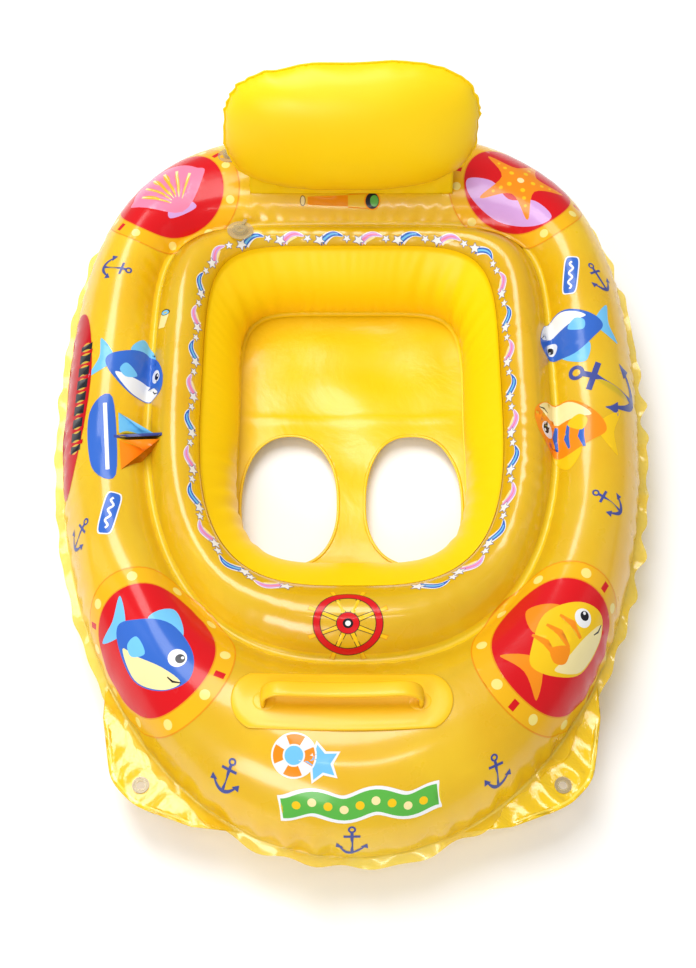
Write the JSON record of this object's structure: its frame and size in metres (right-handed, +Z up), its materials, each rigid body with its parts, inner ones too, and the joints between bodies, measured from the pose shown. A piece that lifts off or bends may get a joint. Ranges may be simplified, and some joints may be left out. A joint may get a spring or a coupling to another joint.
{
  "type": "inflatable toy boat",
  "caption": "Inflatable baby boat for the pool: printed vinyl ring hull, seat panel with leg holes, moulded bow handle, tow flaps, folding pillow backrest and push-in air valves.",
  "frame": {"origin": "middle of the hull's footprint, on the surface that it stands on", "axes": "+Z up, the bow points along -Y, +X to starboard"},
  "size_m": [0.704, 0.975, 0.3127],
  "materials": {
    "printed_vinyl": "glossy translucent amber vinyl film with printed motifs",
    "hull_vinyl": "glossy translucent yellow vinyl film",
    "opaque_vinyl": "satin opaque yellow vinyl film",
    "seat_vinyl": "satin opaque yellow vinyl sheet, lightly creased",
    "handle_vinyl": "satin moulded yellow vinyl",
    "clear_vinyl": "clear soft moulded vinyl, slightly yellowed"
  },
  "bodies": {
    "hull": {"top_sheet": "printed_vinyl", "bottom_sheet": "hull_vinyl", "chamber_divider": "opaque_vinyl", "inner_wall": "opaque_vinyl", "seat_panel": "seat_vinyl", "leg_hole_hem_left": "seat_vinyl", "leg_hole_hem_right": "seat_vinyl", "handle_patch": "handle_vinyl", "handle_grip": "handle_vinyl", "tow_flap_left": "hull_vinyl", "tow_flap_right": "hull_vinyl", "tow_eyelet_left": "clear_vinyl", "tow_eyelet_right": "clear_vinyl", "outer_valve_flange": "clear_vinyl", "ring_valve_flange": "clear_vinyl"},
    "backrest": {"backrest_front_sheet": "opaque_vinyl", "backrest_rear_sheet": "opaque_vinyl", "backrest_base_panel": "opaque_vinyl", "backrest_valve_flange": "clear_vinyl"},
    "outer_valve_stem": {"outer_valve_stem": "clear_vinyl", "outer_valve_strap": "clear_vinyl"},
    "outer_valve_plug": {"outer_valve_plug": "clear_vinyl"},
    "outer_valve_check_flap": {"outer_valve_check_flap": "clear_vinyl"},
    "ring_valve_stem": {"ring_valve_stem": "clear_vinyl", "ring_valve_strap": "clear_vinyl"},
    "ring_valve_plug": {"ring_valve_plug": "clear_vinyl"},
    "ring_valve_check_flap": {"ring_valve_check_flap": "clear_vinyl"},
    "backrest_valve_stem": {"backrest_valve_stem": "clear_vinyl", "backrest_valve_strap": "clear_vinyl"},
    "backrest_valve_plug": {"backrest_valve_plug": "clear_vinyl"},
    "backrest_valve_check_flap": {"backrest_valve_check_flap": "clear_vinyl"}
  },
  "joints": [
    {"name": "backrest_fold", "type": "hinge", "parent": "hull", "child": "backrest", "pos_m": [0, 0.3325, 0.14804], "axis": [1, 0, 0], "range_deg": [-12, 55], "stiffness_Nm_per_rad": 0.2},
    {"name": "outer_valve_pull", "type": "slide", "parent": "hull", "child": "outer_valve_stem", "axis": [-0.0887, 0.2649, 0.9602], "range_m": [0, 0.012]},
    {"name": "outer_valve_unplug", "type": "slide", "parent": "outer_valve_stem", "child": "outer_valve_plug", "axis": [-0.0887, 0.2649, 0.9602], "range_m": [0, 0.012]},
    {"name": "outer_valve_check", "type": "hinge", "parent": "outer_valve_stem", "child": "outer_valve_check_flap", "pos_m": [-0.14721, 0.38057, 0.13362], "axis": [-0.9483, -0.3174, 0], "range_deg": [0, 35], "stiffness_Nm_per_rad": 0.002},
    {"name": "ring_valve_pull", "type": "slide", "parent": "hull", "child": "ring_valve_stem", "axis": [0.0568, 0.1716, 0.9835], "range_m": [0, 0.012]},
    {"name": "ring_valve_unplug", "type": "slide", "parent": "ring_valve_stem", "child": "ring_valve_plug", "axis": [0.0568, 0.1716, 0.9835], "range_m": [0, 0.012]},
    {"name": "ring_valve_check", "type": "hinge", "parent": "ring_valve_stem", "child": "ring_valve_check_flap", "pos_m": [-0.13853, 0.26867, 0.12581], "axis": [-0.9493, 0.3143, 0], "range_deg": [0, 35], "stiffness_Nm_per_rad": 0.002},
    {"name": "backrest_valve_pull", "type": "slide", "parent": "backrest", "child": "backrest_valve_stem", "axis": [0.1923, 0.9222, -0.3356], "range_m": [0, 0.012]},
    {"name": "backrest_valve_unplug", "type": "slide", "parent": "backrest_valve_stem", "child": "backrest_valve_plug", "axis": [0.1923, 0.9222, -0.3356], "range_m": [0, 0.012]},
    {"name": "backrest_valve_check", "type": "hinge", "parent": "backrest_valve_stem", "child": "backrest_valve_check_flap", "pos_m": [0.07408, 0.38354, 0.23439], "axis": [-0.9813, 0.1807, -0.0658], "range_deg": [0, 35], "stiffness_Nm_per_rad": 0.002}
  ]
}
